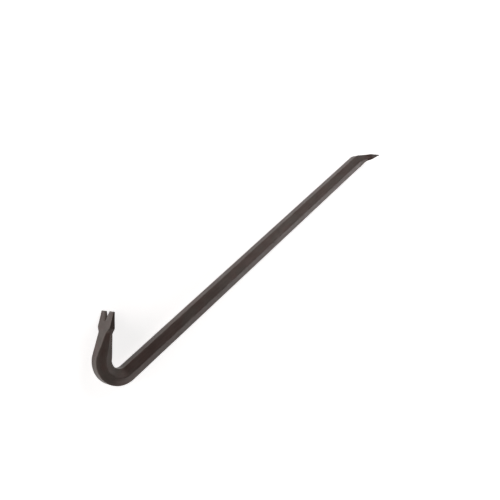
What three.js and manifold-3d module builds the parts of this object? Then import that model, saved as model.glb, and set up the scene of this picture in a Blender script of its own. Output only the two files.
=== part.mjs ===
// Gooseneck wrecking bar: one length of hexagonal steel, forged into a claw, a hook, a shaft and a chisel.
//
// The bar lies on its side. +X runs along the shaft from the hook to the chisel, +Y is the side of the
// shaft that the hook opens over, and +Z is square to the plane of the bends. The origin is under the
// middle of the bar's box, on the surface that the bar lies on. Lengths are millimetres.

import * as THREE from 'three';
import { mergeVertices } from 'three/addons/utils/BufferGeometryUtils.js';
import Module from 'manifold-3d';

// ---- Driving dimensions ----

const ACROSS_FLATS = 16; // 5/8 inch hexagonal stock, with two flats square to the plane of the bends
const OVERALL_LENGTH = 480;

const HOOK = {
  bendRadius: 16.6, // centreline of the stock
  legAngle: THREE.MathUtils.degToRad(45.8), // between the straight leg and the shaft
  legLength: 27.8, // from the end of the bend to the claw's shoulders
  bendSteps: 18,
};

// The claw and the chisel are flat blades that the stock is drawn down to. Their heights are measured
// from the centreline, towards the outside and the inside of the bends.
const CLAW = {
  length: 15.3,
  flareLength: 4.8, // over which the leg spreads into the shoulders
  shoulder: { outer: 3, inner: 2.4, halfWidth: 12 },
  tip: { outer: 1.5, inner: -0.1, halfWidth: 12 },
};

const CHISEL = {
  bendRadius: 17,
  bendAngle: THREE.MathUtils.degToRad(16.6), // away from the side that the hook opens over
  bendSteps: 6,
  neckLength: 18.4, // from the end of the bend to the blade's shoulders
  neckHollow: 1.5, // how far the neck's outer face dips below a straight taper
  neckSteps: 4,
  length: 18,
  flareLength: 5.6,
  shoulder: { outer: 2.3, inner: 5, halfWidth: 11.6 },
  tip: { outer: 0.5, inner: 0.5, halfWidth: 11.2 },
};

// The nail slot is a V in the claw's tip that is a little wider on the outer face than on the inner one.
const NAIL_SLOT = { depth: 9.5, outerWidth: 7.6, innerWidth: 6.8 };

const STEEL = { color: 0x4a4341, roughness: 0.55, metalness: 0.6 };

// ---- Sizes that follow from them ----

const HALF_FLATS = ACROSS_FLATS / 2;
const HALF_CORNERS = ACROSS_FLATS / Math.sqrt(3);

// ---- Cross-sections ----

// A section across the bar is a hexagon with a flat to the outside and one to the inside of the bends.
// Heights run from the centreline, half-widths run each way along Z.
function section(outer, inner, outerHalf, innerHalf, ridgeHalf, ridgeHeight) {
  return [
    [-outer, -outerHalf],
    [ridgeHeight, -ridgeHalf],
    [inner, -innerHalf],
    [inner, innerHalf],
    [ridgeHeight, ridgeHalf],
    [-outer, outerHalf],
  ];
}

// The stock, with its outer and inner flats hammered down to the given heights.
function hexagon(outer = HALF_FLATS, inner = HALF_FLATS) {
  const halfWidthAt = (height) => HALF_CORNERS - height / Math.sqrt(3);
  return section(outer, inner, halfWidthAt(outer), halfWidthAt(inner), HALF_CORNERS, 0);
}

function plate({ outer, inner, halfWidth }) {
  return section(outer, inner, halfWidth, halfWidth, halfWidth, (inner - outer) / 2);
}

// The stock partly drawn down towards a plate's thickness: 0 is the full hexagon, 1 the plate's height.
// A hollow lowers the outer face further, most at the middle.
function drawnDown(shoulder, share, hollow = 0) {
  const dip = 4 * hollow * share * (1 - share);
  const outer = THREE.MathUtils.lerp(HALF_FLATS, shoulder.outer, share) - dip;
  return hexagon(outer, THREE.MathUtils.lerp(HALF_FLATS, shoulder.inner, share));
}

// Puts a section across the centreline. The heading is the way that the bar runs there, from the claw
// to the chisel, as an angle from +X, and the inside of the hook is on the left of it.
function ring(centre, heading, outline) {
  const inward = new THREE.Vector2(-Math.sin(heading), Math.cos(heading));
  return outline.map(([height, z]) => {
    const point = centre.clone().addScaledVector(inward, height);
    return new THREE.Vector3(point.x, point.y, z);
  });
}

// ---- The bar, from the tip of the claw to the tip of the chisel ----

const along = (start, direction, distance) =>
  start.clone().add(new THREE.Vector2(Math.cos(direction), Math.sin(direction)).multiplyScalar(distance));

// Where the leg meets the bend, with the shaft's centreline on the X axis and the bend's end at x = 0.
const bendCentre = new THREE.Vector2(0, HOOK.bendRadius);
const bendStart = along(bendCentre, Math.PI / 2 + HOOK.legAngle, HOOK.bendRadius);
const legHeading = HOOK.legAngle - Math.PI;

function hookRings() {
  const legPoint = (distance) => along(bendStart, HOOK.legAngle, distance);
  const neck = HOOK.legLength - CLAW.flareLength;
  const rings = [
    ring(legPoint(HOOK.legLength + CLAW.length), legHeading, plate(CLAW.tip)),
    ring(legPoint(HOOK.legLength), legHeading, plate(CLAW.shoulder)),
  ];
  for (const distance of [neck, neck / 2]) {
    rings.push(ring(legPoint(distance), legHeading, drawnDown(CLAW.shoulder, distance / HOOK.legLength)));
  }
  for (let step = 0; step <= HOOK.bendSteps; step += 1) {
    const heading = legHeading * (1 - step / HOOK.bendSteps);
    rings.push(ring(along(bendCentre, heading - Math.PI / 2, HOOK.bendRadius), heading, hexagon()));
  }
  return rings;
}

function chiselRings(shaftLength) {
  const centre = new THREE.Vector2(shaftLength, -CHISEL.bendRadius);
  const rings = [];
  for (let step = 0; step <= CHISEL.bendSteps; step += 1) {
    const heading = -CHISEL.bendAngle * (step / CHISEL.bendSteps);
    rings.push(ring(along(centre, heading + Math.PI / 2, CHISEL.bendRadius), heading, hexagon()));
  }
  const bendEnd = along(centre, Math.PI / 2 - CHISEL.bendAngle, CHISEL.bendRadius);
  const neckPoint = (distance) => along(bendEnd, -CHISEL.bendAngle, distance);
  for (let step = 1; step <= CHISEL.neckSteps; step += 1) {
    const distance = (CHISEL.neckLength - CHISEL.flareLength) * (step / CHISEL.neckSteps);
    const outline = drawnDown(CHISEL.shoulder, distance / CHISEL.neckLength, CHISEL.neckHollow);
    rings.push(ring(neckPoint(distance), -CHISEL.bendAngle, outline));
  }
  rings.push(
    ring(neckPoint(CHISEL.neckLength), -CHISEL.bendAngle, plate(CHISEL.shoulder)),
    ring(neckPoint(CHISEL.neckLength + CHISEL.length), -CHISEL.bendAngle, plate(CHISEL.tip)),
  );
  return rings;
}

// Joins rings of equal count into one closed body, with a flat fan over each end.
function loft(rings) {
  const sides = rings[0].length;
  const indices = [];
  for (let i = 0; i < rings.length - 1; i += 1) {
    for (let j = 0; j < sides; j += 1) {
      const a = i * sides + j;
      const b = i * sides + ((j + 1) % sides);
      indices.push(a, b, a + sides, b, b + sides, a + sides);
    }
  }
  const last = (rings.length - 1) * sides;
  for (let j = 1; j < sides - 1; j += 1) {
    indices.push(0, j + 1, j);
    indices.push(last, last + j, last + j + 1);
  }
  const geometry = new THREE.BufferGeometry().setFromPoints(rings.flat());
  geometry.setIndex(indices);
  return geometry;
}

// The space of the nail slot: a triangle that runs past the claw's tip and past both of its faces.
function nailSlot() {
  const overrun = 2;
  const growth = (NAIL_SLOT.depth + overrun) / NAIL_SLOT.depth;
  const tipDistance = HOOK.legLength + CLAW.length;
  const rootPoint = along(bendStart, HOOK.legAngle, tipDistance - NAIL_SLOT.depth);
  const mouthPoint = along(bendStart, HOOK.legAngle, tipDistance + overrun);
  const inward = legHeading + Math.PI / 2;
  const outline = (height, width) => {
    const root = along(rootPoint, inward, height);
    const mouth = along(mouthPoint, inward, height);
    return [
      new THREE.Vector3(root.x, root.y, 0),
      new THREE.Vector3(mouth.x, mouth.y, (-width / 2) * growth),
      new THREE.Vector3(mouth.x, mouth.y, (width / 2) * growth),
    ];
  };
  return loft([outline(-HALF_FLATS, NAIL_SLOT.outerWidth), outline(HALF_FLATS, NAIL_SLOT.innerWidth)]);
}

// ---- Cutting ----

const wasm = await Module();
wasm.setup();

function solid(geometry) {
  const merged = mergeVertices(geometry);
  return new wasm.Manifold(new wasm.Mesh({
    numProp: 3,
    vertProperties: merged.attributes.position.array,
    triVerts: new Uint32Array(merged.index.array),
  }));
}

function cut(body, tool) {
  const { vertProperties, triVerts } = solid(body).subtract(solid(tool)).getMesh();
  const geometry = new THREE.BufferGeometry();
  geometry.setAttribute('position', new THREE.BufferAttribute(vertProperties, 3));
  geometry.setIndex(new THREE.BufferAttribute(triVerts, 1));
  return geometry;
}

// ---- The whole object ----

// The shaft takes up what the two ends leave of the overall length.
function shaftLengthFor(overallLength) {
  const withNoShaft = new THREE.Box3().setFromPoints([...hookRings(), ...chiselRings(0)].flat());
  return overallLength - (withNoShaft.max.x - withNoShaft.min.x);
}

const shaftLength = shaftLengthFor(OVERALL_LENGTH);
const forging = cut(loft([...hookRings(), ...chiselRings(shaftLength)]), nailSlot());

const bar = new THREE.Mesh(forging, new THREE.MeshStandardMaterial(STEEL));
bar.name = 'pry_bar';

// Brings the middle of the box over the origin, with the lowest corners at Z = 0.
const box = new THREE.Box3().setFromBufferAttribute(forging.getAttribute('position'));
const middle = box.getCenter(new THREE.Vector3());
bar.position.set(-middle.x, -middle.y, -box.min.z);

const pryBar = new THREE.Group();
pryBar.add(bar);

export default pryBar;
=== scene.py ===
"""A gooseneck wrecking bar of hexagonal steel, lying on its side on a pale studio floor.

The bar is one forging, so it is one piece: its surface is lofted through finely spaced cross-sections, with
rounded ridges and edges, a chamfered nail slot and the slight unevenness of hammered steel. All lengths are
metres. The loft starts with the tip of the claw at the origin and has the shaft along +X. It is then
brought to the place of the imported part.
"""

import math
from itertools import accumulate

import bmesh
import bpy
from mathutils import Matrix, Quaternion, Vector, noise


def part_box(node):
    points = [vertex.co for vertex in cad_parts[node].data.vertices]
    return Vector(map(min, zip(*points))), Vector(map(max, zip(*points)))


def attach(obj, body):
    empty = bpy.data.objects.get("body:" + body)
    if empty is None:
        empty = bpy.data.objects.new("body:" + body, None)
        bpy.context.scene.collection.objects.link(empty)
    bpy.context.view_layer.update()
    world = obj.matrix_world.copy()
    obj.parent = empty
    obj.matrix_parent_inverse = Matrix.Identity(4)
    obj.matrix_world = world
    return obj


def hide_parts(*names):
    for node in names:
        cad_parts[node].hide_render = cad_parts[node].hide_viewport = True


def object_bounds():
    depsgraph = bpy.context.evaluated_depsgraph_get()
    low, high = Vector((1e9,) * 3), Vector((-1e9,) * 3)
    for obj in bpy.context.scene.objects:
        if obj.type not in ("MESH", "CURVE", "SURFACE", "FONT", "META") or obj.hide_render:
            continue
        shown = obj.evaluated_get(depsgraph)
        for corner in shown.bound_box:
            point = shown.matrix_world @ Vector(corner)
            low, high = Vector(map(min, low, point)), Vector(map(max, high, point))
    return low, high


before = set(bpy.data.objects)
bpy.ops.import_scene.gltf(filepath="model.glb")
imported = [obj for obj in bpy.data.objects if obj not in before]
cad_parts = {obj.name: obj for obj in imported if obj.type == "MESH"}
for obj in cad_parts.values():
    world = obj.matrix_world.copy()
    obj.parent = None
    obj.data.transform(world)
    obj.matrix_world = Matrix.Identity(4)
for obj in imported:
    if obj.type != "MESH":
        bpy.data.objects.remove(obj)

NODE = "pry_bar"
MM = 0.001
TINY = 0.001 * MM
SQRT3 = math.sqrt(3)
BOTH_SIDES = (-1, 1)  # of the plane of the bends

CAD_LOW, CAD_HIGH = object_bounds()
BAR_LOW, BAR_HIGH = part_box(NODE)
MIDDLE = (CAD_LOW + CAD_HIGH) / 2

# ---- The bar's driving dimensions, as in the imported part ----

ACROSS_FLATS = 16 * MM
HALF_FLATS = ACROSS_FLATS / 2
HALF_CORNERS = ACROSS_FLATS / SQRT3

HOOK_RADIUS = 16.6 * MM
LEG_ANGLE = math.radians(45.8)
LEG_LENGTH = 27.8 * MM

CLAW_LENGTH = 15.3 * MM
CLAW_FLARE = 4.8 * MM
CLAW_SHOULDER = {"outer": 3 * MM, "inner": 2.4 * MM, "half_width": 12 * MM}
CLAW_TIP = {"outer": 1.5 * MM, "inner": -0.1 * MM, "half_width": 12 * MM}

CHISEL_RADIUS = 17 * MM
CHISEL_ANGLE = math.radians(16.6)
CHISEL_NECK = 18.4 * MM
CHISEL_HOLLOW = 1.5 * MM
CHISEL_LENGTH = 18 * MM
CHISEL_FLARE = 5.6 * MM
CHISEL_SHOULDER = {"outer": 2.3 * MM, "inner": 5 * MM, "half_width": 11.6 * MM}
CHISEL_TIP = {"outer": 0.5 * MM, "inner": 0.5 * MM, "half_width": 11.2 * MM}

# The nail slot's widths are at the claw's tip, on its outer and its inner face. They slant its walls a
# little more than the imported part's, by up to 0.1 mm on each side.
SLOT_DEPTH = 9.5 * MM
SLOT_OUTER_WIDTH = 7.4 * MM
SLOT_INNER_WIDTH = 7.0 * MM

# ---- The shape's finish ----

RIDGE_ROUNDING = 0.5 * MM  # from a hexagon's sharp corner to where its rounding starts
BLADE_ROUNDING = 0.35 * MM
TIP_ROUNDING = 0.25 * MM
SLOT_CHAMFER = 0.35 * MM
SLOT_CHAMFER_FADE = 0.12  # share of the slot, next to its root, over which the chamfer dies out
EDGE_LIMIT = 0.3  # the most that an edge loses, as a share of the blade's thickness
SIDE_ROUNDING = 0.12  # where the ridge runs out on a blade's narrow side, as a share of its thickness
ROUNDING_LIMIT = 0.42  # the most that a rounding takes, as a share of the face beside it
FORGED_SOFTNESS = 1.2 * MM  # over which one stretch of the bar runs into the next

WAVE_SIZE, WAVE_HEIGHT = 26 * MM, 0.05 * MM
HAMMER_SIZE, HAMMER_HEIGHT, HAMMER_HEIGHT_AT_ENDS = 8 * MM, 0.03 * MM, 0.1 * MM
HAMMER_OFFSET = Vector((7, 3, 5))  # keeps its noise apart from the wave's
CLAW_WORKED = (38 * MM, 60 * MM)  # from the tip: the most up to the first, as the shaft past the second
CHISEL_WORKED = (40 * MM, 60 * MM)
SMOOTH_TIP = 6 * MM

GROUND_LENGTH = 9 * MM  # of the chisel's blade, ground free of lacquer
RUBBED_LENGTH = 1.5 * MM  # of the claw's tip, worn free of it
BARE_BLUR = 1.1 * MM  # on each side of where the lacquer ends

# ---- How fine the mesh is ----

SLOT_STEP = 0.55 * MM
FORGED_STEP = 0.7 * MM
BEND_STEP = 1 * MM
SHAFT_STEP = 4 * MM
NECK_STEPS = 6
TIP_STEPS = 4
CORNER_STEPS = 4
SOFTNESS_TAPS = 9
SIDE_SHARES = (0.1, 0.3, 0.5, 0.7, 0.9)
FLAT_SHARES = (0, 0.4, 0.8)

# ---- Small helpers ----


def lerp(a, b, share):
    return a + (b - a) * share


def smooth(x, low, high):
    """0 below low, 1 above high, and an S-curve between."""
    share = min(max((x - low) / (high - low), 0), 1)
    return share * share * (3 - 2 * share)


def interpolate(keys, s):
    """The value at s of a line through (s, value) keys, run on straight past both ends."""
    for (s0, v0), (s1, v1) in zip(keys, keys[1:]):
        if s <= s1:
            break
    return lerp(v0, v1, (s - s0) / (s1 - s0))


# ---- The centreline, measured from the tip of the claw ----


def centreline():
    """Straight and round stretches as (length, turn to the left), in order from the claw to the chisel."""
    hook_turn = math.pi - LEG_ANGLE
    ends = HOOK_RADIUS + HALF_FLATS + CHISEL_RADIUS * math.sin(CHISEL_ANGLE)
    ends += (CHISEL_NECK + CHISEL_LENGTH) * math.cos(CHISEL_ANGLE)
    ends += CHISEL_TIP["inner"] * math.sin(CHISEL_ANGLE)
    return {
        "claw": (CLAW_LENGTH, 0),
        "leg": (LEG_LENGTH, 0),
        "bend": (HOOK_RADIUS * hook_turn, hook_turn),
        "shaft": (BAR_HIGH.x - BAR_LOW.x - ends, 0),
        "offset": (CHISEL_RADIUS * CHISEL_ANGLE, -CHISEL_ANGLE),
        "neck": (CHISEL_NECK, 0),
        "blade": (CHISEL_LENGTH, 0),
    }


PATH = centreline()
LENGTHS = [length for length, _ in PATH.values()]
STARTS = dict(zip(PATH, accumulate([0, *LENGTHS])))
BAR_LENGTH = sum(LENGTHS)


def advance(point, heading, length, turn):
    """Goes on from a point by a length, along a line or round an arc."""
    if turn == 0:
        return point + Vector((math.cos(heading), math.sin(heading))) * length, heading
    radius = length / turn
    after = heading + turn
    to_centre = Vector((-math.sin(heading), math.cos(heading))) * radius
    from_centre = Vector((math.sin(after), -math.cos(after))) * radius
    return point + to_centre + from_centre, after


def place(s):
    """The point of the centreline at s, and the heading there."""
    point, heading = Vector((0, 0)), LEG_ANGLE - math.pi
    for name, (length, turn) in PATH.items():
        part = min(max(s - STARTS[name], 0), length)
        point, heading = advance(point, heading, part, turn * part / length)
    return point, heading


# ---- Cross-sections ----
#
# A section is a hexagon with a flat to the outside and one to the inside of the bends. Heights run from the
# centreline towards the inside, and half-widths run each way across the bar.


def half_width_at(height):
    """Half the width of the hexagon's flat when it is hammered down to a height."""
    return HALF_CORNERS - height / SQRT3


def stock(outer=HALF_FLATS, inner=HALF_FLATS):
    """The hexagonal stock, with its outer and inner flats hammered down to the given heights."""
    return {
        "outer": outer,
        "inner": inner,
        "outer_half": half_width_at(outer),
        "inner_half": half_width_at(inner),
        "ridge_half": HALF_CORNERS,
        "ridge_height": 0,
    }


def plate(size):
    """A blade, whose narrow sides are square to its faces."""
    return {
        "outer": size["outer"],
        "inner": size["inner"],
        "outer_half": size["half_width"],
        "inner_half": size["half_width"],
        "ridge_half": size["half_width"],
        "ridge_height": (size["inner"] - size["outer"]) / 2,
    }


def drawn_down(shoulder, share, hollow=0):
    """The stock partly drawn down towards a plate's thickness, with a hollow in its outer face."""
    dip = 4 * hollow * share * (1 - share)
    outer = lerp(HALF_FLATS, shoulder["outer"], share) - dip
    return stock(outer, lerp(HALF_FLATS, shoulder["inner"], share))


def stations():
    """The sections that set the bar's shape, with their places along the centreline."""
    bend, neck, blade = STARTS["bend"], STARTS["neck"], STARTS["blade"]
    claw_root = CLAW_LENGTH + CLAW_FLARE
    found = [
        (0, plate(CLAW_TIP)),
        (CLAW_LENGTH, plate(CLAW_SHOULDER)),
        (claw_root, drawn_down(CLAW_SHOULDER, (bend - claw_root) / LEG_LENGTH)),
        (bend, stock()),
        (neck, stock()),
    ]
    for step in range(1, NECK_STEPS + 1):
        distance = (CHISEL_NECK - CHISEL_FLARE) * step / NECK_STEPS
        section = drawn_down(CHISEL_SHOULDER, distance / CHISEL_NECK, CHISEL_HOLLOW)
        found.append((neck + distance, section))
    found += [(blade, plate(CHISEL_SHOULDER)), (BAR_LENGTH, plate(CHISEL_TIP))]
    return found


STATIONS = stations()
MEASURES = {name: [(s, section[name]) for s, section in STATIONS] for name in STATIONS[0][1]}


def section_at(s, off):
    """The section at s, with the given amount taken off all round.

    Each measure is averaged over a short stretch, which rounds the shoulders.
    """
    reach = FORGED_SOFTNESS / 2
    taps = [s + reach * (2 * i / (SOFTNESS_TAPS - 1) - 1) for i in range(SOFTNESS_TAPS)]
    section = {}
    for name, keys in MEASURES.items():
        mean = sum(interpolate(keys, tap) for tap in taps) / SOFTNESS_TAPS
        section[name] = mean if name == "ridge_height" else mean - off
    return section


def thickness(section):
    return section["outer"] + section["inner"]


def bladeness(s):
    """1 on the claw and on the chisel's blade, 0 on the hexagonal stock, and between on the flares."""
    claw = 1 - smooth(s, CLAW_LENGTH, CLAW_LENGTH + CLAW_FLARE)
    chisel = smooth(s, STARTS["blade"] - CHISEL_FLARE, STARTS["blade"])
    return max(claw, chisel)


# ---- One side of a section's outline, as (point, wear) pairs ----


def rounded_corner(before, at, after, rounding, wear):
    """A corner, rounded from the side before it to the side after it, and worn the most at its middle."""
    back, ahead = before - at, after - at
    start = at + back * min(rounding / back.length, ROUNDING_LIMIT)
    end = at + ahead * min(rounding / ahead.length, ROUNDING_LIMIT)
    found = []
    for step in range(CORNER_STEPS + 1):
        share = step / CORNER_STEPS
        point = start.lerp(at, share).lerp(at.lerp(end, share), share)
        found.append((point, wear * (1 - abs(share - 0.5))))
    return found


def unworn(a, b, shares):
    """Points at the given shares of the way from one point to another."""
    return [(a.lerp(b, share), 0) for share in shares]


def half_outline(section, blade, widen):
    """From the middle of the outer face, over the ridge, to the middle of the inner face.

    blade is the section's bladeness, and widen is how far the nail slot pushes the middle of the outer and
    of the inner face aside.
    """
    edge = min(lerp(RIDGE_ROUNDING, BLADE_ROUNDING, blade), thickness(section) * EDGE_LIMIT)
    side = lerp(RIDGE_ROUNDING, thickness(section) * SIDE_ROUNDING, blade)
    outer_middle = Vector((-section["outer"], widen[0]))
    outer_edge = Vector((-section["outer"], section["outer_half"]))
    ridge = Vector((section["ridge_height"], section["ridge_half"]))
    inner_edge = Vector((section["inner"], section["inner_half"]))
    inner_middle = Vector((section["inner"], widen[1]))
    first = rounded_corner(outer_middle, outer_edge, ridge, edge, 1)
    second = rounded_corner(outer_edge, ridge, inner_edge, side, 1 - blade)
    third = rounded_corner(ridge, inner_edge, inner_middle, edge, 1)
    return [
        *unworn(outer_middle, first[0][0], FLAT_SHARES),
        *first,
        *unworn(first[-1][0], second[0][0], SIDE_SHARES),
        *second,
        *unworn(second[-1][0], third[0][0], SIDE_SHARES),
        *third,
        *reversed(unworn(inner_middle, third[-1][0], FLAT_SHARES)),
    ]


def slot_cut(s, section, off):
    """Half the nail slot's width on the outer and on the inner face, and the chamfer of its edges."""
    if s > SLOT_DEPTH - TINY:
        return (0, 0), 0
    share = (SLOT_DEPTH - s) / SLOT_DEPTH
    halves = (share * SLOT_OUTER_WIDTH / 2 + off, share * SLOT_INNER_WIDTH / 2 + off)
    chamfer = min(SLOT_CHAMFER, thickness(section) * EDGE_LIMIT)
    return halves, chamfer * smooth(share, 0, SLOT_CHAMFER_FADE)


# ---- Where the sections are taken ----


def spaced(start, end, step):
    """Places from the start up to, but not including, the end."""
    count = max(1, math.ceil((end - start) / step))
    return [lerp(start, end, i / count) for i in range(count)]


def rounded_end():
    """(distance from the end, amount taken off) for the rings that round off a blade's tip."""
    for step in range(TIP_STEPS + 1):
        angle = math.pi / 2 * step / TIP_STEPS
        yield TIP_ROUNDING * (1 - math.sin(angle)), TIP_ROUNDING * (1 - math.cos(angle))


def ring_places():
    """Every ring as (place along the bar, amount taken off all round)."""
    ends = list(rounded_end())
    between = [
        *spaced(TIP_ROUNDING, SLOT_DEPTH, SLOT_STEP)[1:],
        *spaced(SLOT_DEPTH, STARTS["bend"], FORGED_STEP),
        *spaced(STARTS["bend"], STARTS["shaft"], BEND_STEP),
        *spaced(STARTS["shaft"], STARTS["offset"], SHAFT_STEP),
        *spaced(STARTS["offset"], BAR_LENGTH - TIP_ROUNDING, FORGED_STEP),
    ]
    claw_end = list(reversed(ends))
    chisel_end = [(BAR_LENGTH - distance, off) for distance, off in ends]
    return claw_end + [(s, 0) for s in between] + chisel_end


# ---- The surface ----


def unevenness(point, s):
    """How far the hammered surface lies above the true one. The ends were worked the most."""
    at_ends = 2 - smooth(s, *CLAW_WORKED) - smooth(BAR_LENGTH - s, *CHISEL_WORKED)
    wave = WAVE_HEIGHT * noise.noise(point / WAVE_SIZE)
    hammer = HAMMER_HEIGHT + HAMMER_HEIGHT_AT_ENDS * at_ends
    hammer *= noise.noise(point / HAMMER_SIZE + HAMMER_OFFSET)
    return (wave + hammer) * smooth(min(s, BAR_LENGTH - s), 0, SMOOTH_TIP)


def bareness(s):
    """1 where the lacquer is gone: on the claw's worn tip and on the chisel's ground end."""
    claw = smooth(s, RUBBED_LENGTH - BARE_BLUR, RUBBED_LENGTH + BARE_BLUR)
    chisel = smooth(BAR_LENGTH - s, GROUND_LENGTH - BARE_BLUR, GROUND_LENGTH + BARE_BLUR)
    return 1 - min(claw, chisel)


class BarMesh:
    """The lofted surface of the bar.

    A ring holds a row of vertices for each side of the bar and, in the nail slot, one for each wall.
    """

    SLOT_EDGE_WEAR, SLOT_WALL_WEAR = 0.8, 0.2

    def __init__(self):
        self.mesh = bmesh.new()
        self.wear_layer = self.mesh.verts.layers.float.new("wear")
        self.bare_layer = self.mesh.verts.layers.float.new("bare")
        self.unbent_layer = self.mesh.verts.layers.float_vector.new("unbent")

    def vertex(self, s, height, across, wear):
        """A point at a height towards the inside of the bends and at a distance across the bar."""
        point, heading = place(s)
        at = point + Vector((-math.sin(heading), math.cos(heading))) * height
        vert = self.mesh.verts.new((at.x, at.y, across))
        vert[self.wear_layer] = wear
        vert[self.bare_layer] = bareness(s)
        vert[self.unbent_layer] = (s, height, across)
        return vert

    def ring(self, s, off):
        """The ring at s, with the given amount taken off all round."""
        section = section_at(s, off)
        halves, chamfer = slot_cut(s, section, off)
        outline = half_outline(section, bladeness(s), [half + chamfer for half in halves])
        sides = {
            sign: [self.vertex(s, point.x, sign * point.y, wear) for point, wear in outline]
            for sign in BOTH_SIDES
        }
        walls = self.slot_walls(s, section, halves, chamfer)
        cut = s < SLOT_DEPTH - TINY
        if not cut:
            self.join_sides(sides)
        return {"cut": cut, "sides": sides, "walls": walls}

    def slot_walls(self, s, section, halves, chamfer):
        """The nail slot's walls, from the outer face to the inner one. They are one row at its root."""
        if s > SLOT_DEPTH + TINY:
            return {}
        outer, inner = -section["outer"] + chamfer, section["inner"] - chamfer
        points = [
            (outer, halves[0], self.SLOT_EDGE_WEAR),
            ((outer + inner) / 2, sum(halves) / 2, self.SLOT_WALL_WEAR),
            (inner, halves[1], self.SLOT_EDGE_WEAR),
        ]

        def wall(sign):
            return [self.vertex(s, height, sign * half, wear) for height, half, wear in points]

        if s < SLOT_DEPTH - TINY:
            return {sign: wall(sign) for sign in BOTH_SIDES}
        return dict.fromkeys(BOTH_SIDES, wall(1))

    def join_sides(self, sides):
        """Gives both sides the same vertices where they meet, at the middle of the two faces."""
        for end in (0, -1):
            self.mesh.verts.remove(sides[1][end])
            sides[1][end] = sides[-1][end]

    def face(self, corners, flip):
        """A face through the corners that aren't the same vertex, if at least three of them are left."""
        distinct = [vert for i, vert in enumerate(corners) if vert is not corners[i - 1]]
        if len(distinct) > 2:
            self.mesh.faces.new(distinct[::-1] if flip else distinct)

    def strip(self, a, b, flip):
        """Faces between two rows of vertices of equal count."""
        for i in range(len(a) - 1):
            self.face([a[i], a[i + 1], b[i + 1], b[i]], flip)

    @staticmethod
    def wall_row(ring, sign):
        """The slot's wall from the outer face to the inner one, with the face points that it meets."""
        side = ring["sides"][sign]
        return [side[0], *ring["walls"][sign], side[-1]]

    def loft(self, rings):
        for near, far in zip(rings, rings[1:]):
            for sign in BOTH_SIDES:
                self.strip(near["sides"][sign], far["sides"][sign], sign == 1)
                if near["cut"]:
                    self.strip(self.wall_row(near, sign), self.wall_row(far, sign), sign == -1)

    def cap(self, ring, flip):
        """Closes an end, from the middle out to the edges."""
        for sign in BOTH_SIDES:
            side = ring["sides"][sign]
            last = len(side) - 1
            turned = (sign == 1) != flip
            if ring["cut"]:
                self.face([side[1], *self.wall_row(ring, sign), side[-2]], not turned)
            for i in range(1 if ring["cut"] else 0, len(side) // 2):
                self.face([side[i], side[i + 1], side[last - 1 - i], side[last - i]], turned)

    def roughen(self):
        """Moves each point by the unevenness of the forging, along the surface's own direction."""
        self.mesh.normal_update()
        verts = list(self.mesh.verts)
        moves = [vert.normal * unevenness(vert.co, vert[self.unbent_layer].x) for vert in verts]
        for vert, move in zip(verts, moves):
            vert.co += move

    def fit(self):
        """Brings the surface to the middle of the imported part's box, and keeps it inside the box."""
        verts = self.mesh.verts
        low = Vector(tuple(min(vert.co[i] for vert in verts) for i in range(3)))
        high = Vector(tuple(max(vert.co[i] for vert in verts) for i in range(3)))
        bmesh.ops.translate(self.mesh, vec=(BAR_LOW + BAR_HIGH) / 2 - (low + high) / 2, verts=verts)
        for vert in verts:
            vert.co = Vector(tuple(min(max(c, l), h) for c, l, h in zip(vert.co, BAR_LOW, BAR_HIGH)))

    def finish(self, name):
        """Makes the surface an object of the scene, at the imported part's place."""
        bmesh.ops.recalc_face_normals(self.mesh, faces=self.mesh.faces)
        self.fit()
        made = add_object(name, self.mesh)
        made.data.shade_smooth()
        return made


def add_object(name, mesh):
    """Turns a bmesh into an object of the scene."""
    data = bpy.data.meshes.new(name)
    mesh.to_mesh(data)
    mesh.free()
    made = bpy.data.objects.new(name, data)
    bpy.context.collection.objects.link(made)
    return made


def make_bar():
    bar = BarMesh()
    rings = [bar.ring(s, off) for s, off in ring_places()]
    bar.loft(rings)
    bar.cap(rings[0], True)
    bar.cap(rings[-1], False)
    bar.roughen()
    return bar.finish("forged_bar")


# ---- Materials ----
#
# Colours are linear, and a noise's scale is how many of its patches fit in a metre.

LACQUER_THICK = (0.034, 0.020, 0.017)
LACQUER_THIN = (0.066, 0.043, 0.038)
MILL_SCALE = (0.050, 0.047, 0.041)
DRAWN_LINES = (0.082, 0.062, 0.056)
PITS = (0.022, 0.016, 0.015)
RUBBED_LACQUER = (0.135, 0.112, 0.102)
BARE_STEEL = (0.088, 0.082, 0.079)
BARE_METALLIC = 0.35
LACQUER_IOR = 1.42
REFLECTION_TINT = (1, 0.87, 0.82, 1)
RELIEF = {"grain": 0.55, "lines": 0.35, "skin": 0.2}  # shares of the bump's height

FLOOR_WHITE = (0.93, 0.93, 0.93, 1)
GLOW = {"near": 0.7, "far": 1.0}  # the floor's emission, and the backdrop's is the far one
GLOW_CHANGE = (0.5, 0.8)  # distances from the middle of the bar over which it goes from near to far


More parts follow.
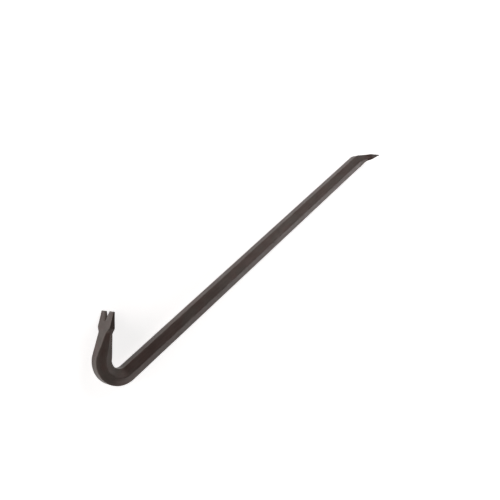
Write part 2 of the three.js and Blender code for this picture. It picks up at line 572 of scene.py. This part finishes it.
class Nodes:
    """A short way to build a material's node tree."""

    def __init__(self, name):
        self.material = bpy.data.materials.new(name)
        self.material.use_nodes = True
        self.tree = self.material.node_tree
        self.tree.nodes.clear()

    def feed(self, socket, value):
        """Links another node's output to a socket, or sets the socket's own value."""
        if isinstance(value, bpy.types.NodeSocket):
            self.tree.links.new(value, socket)
        else:
            socket.default_value = value

    def add(self, kind, settings=None, **inputs):
        """A node. Its inputs are named with _ for a space, or numbered as i0, i1 and so on."""
        node = self.tree.nodes.new(kind)
        for key, value in (settings or {}).items():
            setattr(node, key, value)
        for key, value in inputs.items():
            numbered = key[0] == "i" and key[1:].isdigit()
            self.feed(node.inputs[int(key[1:]) if numbered else key.replace("_", " ")], value)
        return node

    def noise(self, vector, scale, detail=4.0, roughness=0.55):
        size = {"Scale": scale, "Detail": detail, "Roughness": roughness}
        return self.add("ShaderNodeTexNoise", Vector=vector, **size).outputs["Fac"]

    def ramp(self, value, stops):
        """Runs through (position, colour or number) stops."""
        node = self.add("ShaderNodeValToRGB", Fac=value)
        for element, (position, colour) in zip(node.color_ramp.elements, stops):
            element.position = position
            element.color = (*colour, 1) if isinstance(colour, tuple) else (colour, colour, colour, 1)
        return node.outputs["Color"]

    def mix(self, share, a, b):
        node = self.add("ShaderNodeMix", {"data_type": "RGBA"})
        for index, value in ((0, share), (6, a), (7, b)):
            self.feed(node.inputs[index], (*value, 1) if isinstance(value, tuple) else value)
        return node.outputs[2]

    def maths(self, operation, a, b):
        return self.add("ShaderNodeMath", {"operation": operation}, i0=a, i1=b).outputs[0]

    def attribute(self, name, output="Fac"):
        return self.add("ShaderNodeAttribute", {"attribute_name": name}).outputs[output]

    def stretched(self, vector, stretch):
        """Coordinates for a noise that is drawn out along the bar by the given factor."""
        multiply = {"operation": "MULTIPLY"}
        return self.add("ShaderNodeVectorMath", multiply, i0=vector, i1=(1 / stretch, 1, 1)).outputs[0]

    def output(self, shader):
        """Ends the tree, and gives the finished material."""
        self.add("ShaderNodeOutputMaterial", Surface=shader.outputs[0])
        return self.material


def lacquer_colour(n, unbent, grain, lines):
    """Brown-black lacquer, clouded where it is thick or thin, over patches of grey mill scale.

    Fine lines from the drawing of the stock show through it.
    """
    cloud = n.noise(n.stretched(unbent, 2.5), 90.0, 5.0)
    lacquer = n.ramp(cloud, [(0.32, LACQUER_THICK), (0.68, LACQUER_THIN)])
    scale = n.noise(n.stretched(unbent, 1.6), 85.0, 3.0)
    lacquer = n.mix(n.ramp(scale, [(0.44, 0.0), (0.6, 0.7)]), lacquer, MILL_SCALE)
    lacquer = n.mix(n.ramp(lines, [(0.4, 0.0), (0.75, 0.45)]), lacquer, DRAWN_LINES)
    return n.mix(n.ramp(grain, [(0.5, 0.0), (0.8, 0.5)]), lacquer, PITS)


def worn_colour(n, lacquer, unbent, grain):
    """Rubs the lacquer thin along the ridges, and takes it off the ends of the blades.

    It gives the colour and how bare the steel is.
    """
    patches = n.noise(n.stretched(unbent, 3.0), 260.0, 4.0)
    rubbed = n.maths("MULTIPLY", n.attribute("wear"), n.ramp(patches, [(0.4, 0.05), (0.66, 0.6)]))
    colour = n.mix(rubbed, lacquer, RUBBED_LACQUER)
    bare = n.maths("MULTIPLY", n.attribute("bare"), n.ramp(grain, [(0.35, 0.35), (0.65, 0.9)]))
    return n.mix(bare, colour, BARE_STEEL), bare


def forged_bump(n, unbent, grain, lines):
    """The fine relief of the forging's skin."""
    skin = n.noise(unbent, 1300.0, 2.0)
    grain_height = n.maths("MULTIPLY", grain, RELIEF["grain"])
    lines_height = n.maths("MULTIPLY", lines, RELIEF["lines"])
    skin_height = n.maths("MULTIPLY", skin, RELIEF["skin"])
    height = n.maths("ADD", n.maths("ADD", grain_height, lines_height), skin_height)
    return n.add("ShaderNodeBump", Strength=0.4, Distance=0.13 * MM, Height=height).outputs[0]


def forged_steel():
    """Dark brown-black lacquer over forged steel: mottled, rubbed along the ridges, bare at the ends."""
    n = Nodes("forged_steel")
    unbent = n.attribute("unbent", "Vector")
    grain = n.noise(unbent, 520.0, 6.0, 0.65)
    lines = n.noise(n.stretched(unbent, 22.0), 700.0, 3.0)
    colour, bare = worn_colour(n, lacquer_colour(n, unbent, grain, lines), unbent, grain)
    gloss = n.noise(n.stretched(unbent, 2.0), 190.0, 5.0)
    shader = n.add(
        "ShaderNodeBsdfPrincipled",
        Base_Color=colour,
        Roughness=n.ramp(gloss, [(0.3, 0.35), (0.7, 0.5)]),
        Metallic=n.maths("MULTIPLY", bare, BARE_METALLIC),
        Normal=forged_bump(n, unbent, grain, lines),
        IOR=LACQUER_IOR,
        Specular_Tint=REFLECTION_TINT,
    )
    return n.output(shader)


def pale_floor():
    """A light table: it glows a little under the bar, and as bright as the backdrop further out."""
    n = Nodes("pale_floor")
    position = n.add("ShaderNodeNewGeometry").outputs["Position"]
    away = n.add("ShaderNodeVectorMath", {"operation": "DISTANCE"}, i0=position, i1=tuple(MIDDLE))
    glow = n.add(
        "ShaderNodeMapRange",
        {"interpolation_type": "SMOOTHSTEP"},
        Value=away.outputs["Value"],
        From_Min=GLOW_CHANGE[0],
        From_Max=GLOW_CHANGE[1],
        To_Min=GLOW["near"],
        To_Max=GLOW["far"],
    )
    shader = n.add(
        "ShaderNodeBsdfPrincipled",
        Base_Color=FLOOR_WHITE,
        Roughness=0.9,
        Emission_Color=(1, 1, 1, 1),
        Emission_Strength=glow.outputs["Result"],
    )
    return n.output(shader)


def white_backdrop():
    n = Nodes("white_backdrop")
    return n.output(n.add("ShaderNodeEmission", Color=(1, 1, 1, 1), Strength=GLOW["far"]))


# ---- The studio ----

FLOOR_REACH = 12
BACKDROP_RADIUS = 1.42  # a little less than the distance of the farthest softboxes
LAMP_COLOUR = (1, 0.95, 0.93)
WORLD_GREY = (0.05, 0.05, 0.05, 1)

CAMERA_AIM = MIDDLE + Vector((-21.1, -15.67, 0.1)) * MM
CAMERA_PLACE = {"azimuth": -122.1, "elevation": 49.26, "distance": 0.6563, "roll": 87.42}
SENSOR_WIDTH, FOCAL_LENGTH = 36, 41.98  # millimetres, as Blender's cameras have them
CLIP = (0.01, 100)


def make_floor():
    mesh = bmesh.new()
    corners = [(x * FLOOR_REACH, y * FLOOR_REACH) for x, y in ((-1, -1), (1, -1), (1, 1), (-1, 1))]
    mesh.faces.new([mesh.verts.new((x, y, CAD_LOW.z)) for x, y in corners])
    floor = add_object("floor", mesh)
    floor.data.materials.append(pale_floor())


def make_backdrop():
    """A white dome round the bar, which lights nothing: only the camera sees it."""
    mesh = bmesh.new()
    bmesh.ops.create_uvsphere(mesh, u_segments=64, v_segments=32, radius=BACKDROP_RADIUS)
    bmesh.ops.translate(mesh, vec=MIDDLE, verts=mesh.verts)
    backdrop = add_object("backdrop", mesh)
    backdrop.data.materials.append(white_backdrop())
    for ray in ("diffuse", "glossy", "transmission", "volume_scatter", "shadow"):
        setattr(backdrop, "visible_" + ray, False)


def direction(azimuth, elevation):
    """The way to something seen at an azimuth, 0 towards -Y and 90 towards +X, and an elevation."""
    a, e = math.radians(azimuth), math.radians(elevation)
    return Vector((math.sin(a) * math.cos(e), -math.cos(a) * math.cos(e), math.sin(e)))


def put(name, data, aim, azimuth, elevation, distance, roll=0):
    """Stands a lamp or a camera at a distance from what it is aimed at, turned about its own axis."""
    made = bpy.data.objects.new(name, data)
    back = direction(azimuth, elevation)
    made.location = aim + back * distance
    made.rotation_mode = "QUATERNION"
    turn = Quaternion((0, 0, 1), math.radians(roll))
    made.rotation_quaternion = back.to_track_quat("Z", "Y") @ turn
    bpy.context.collection.objects.link(made)
    return made


def softbox(name, azimuth, elevation, distance, size, watts, aim=MIDDLE):
    light = bpy.data.lights.new(name, "AREA")
    light.shape = "RECTANGLE"
    light.size, light.size_y = size
    light.energy = watts
    light.color = LAMP_COLOUR
    put(name, light, aim, azimuth, elevation, distance)


def make_lights():
    """Low softboxes round a light table, and a small one over the chisel's end."""
    world = bpy.data.worlds.new("studio")
    world.use_nodes = True
    world.node_tree.nodes["Background"].inputs["Color"].default_value = WORLD_GREY
    bpy.context.scene.world = world
    softbox("left_back", azimuth=225, elevation=12, distance=1.5, size=(1.0, 0.5), watts=10)
    softbox("left_front", azimuth=285, elevation=12, distance=1.5, size=(1.0, 0.5), watts=5.5)
    softbox("right", azimuth=65, elevation=12, distance=1.5, size=(2.0, 0.5), watts=8)
    softbox("front", azimuth=0, elevation=14, distance=0.8, size=(1.0, 0.3), watts=1.5)
    chisel = Vector((BAR_HIGH.x - 20 * MM, MIDDLE.y, MIDDLE.z))
    softbox("over_chisel", azimuth=137, elevation=53, distance=0.68, size=(0.5, 0.5), watts=1.9, aim=chisel)


def make_camera():
    """Looks down on the bar from beyond the hook, on the side that the hook opens over."""
    data = bpy.data.cameras.new("camera")
    data.sensor_width, data.lens = SENSOR_WIDTH, FOCAL_LENGTH
    data.clip_start, data.clip_end = CLIP
    bpy.context.scene.camera = put("camera", data, CAMERA_AIM, **CAMERA_PLACE)


make_camera()
make_floor()
make_backdrop()
make_lights()
bpy.context.scene.view_settings.view_transform = "Standard"

bar = make_bar()
bar.data.materials.append(forged_steel())
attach(bar, "root")
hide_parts(NODE)
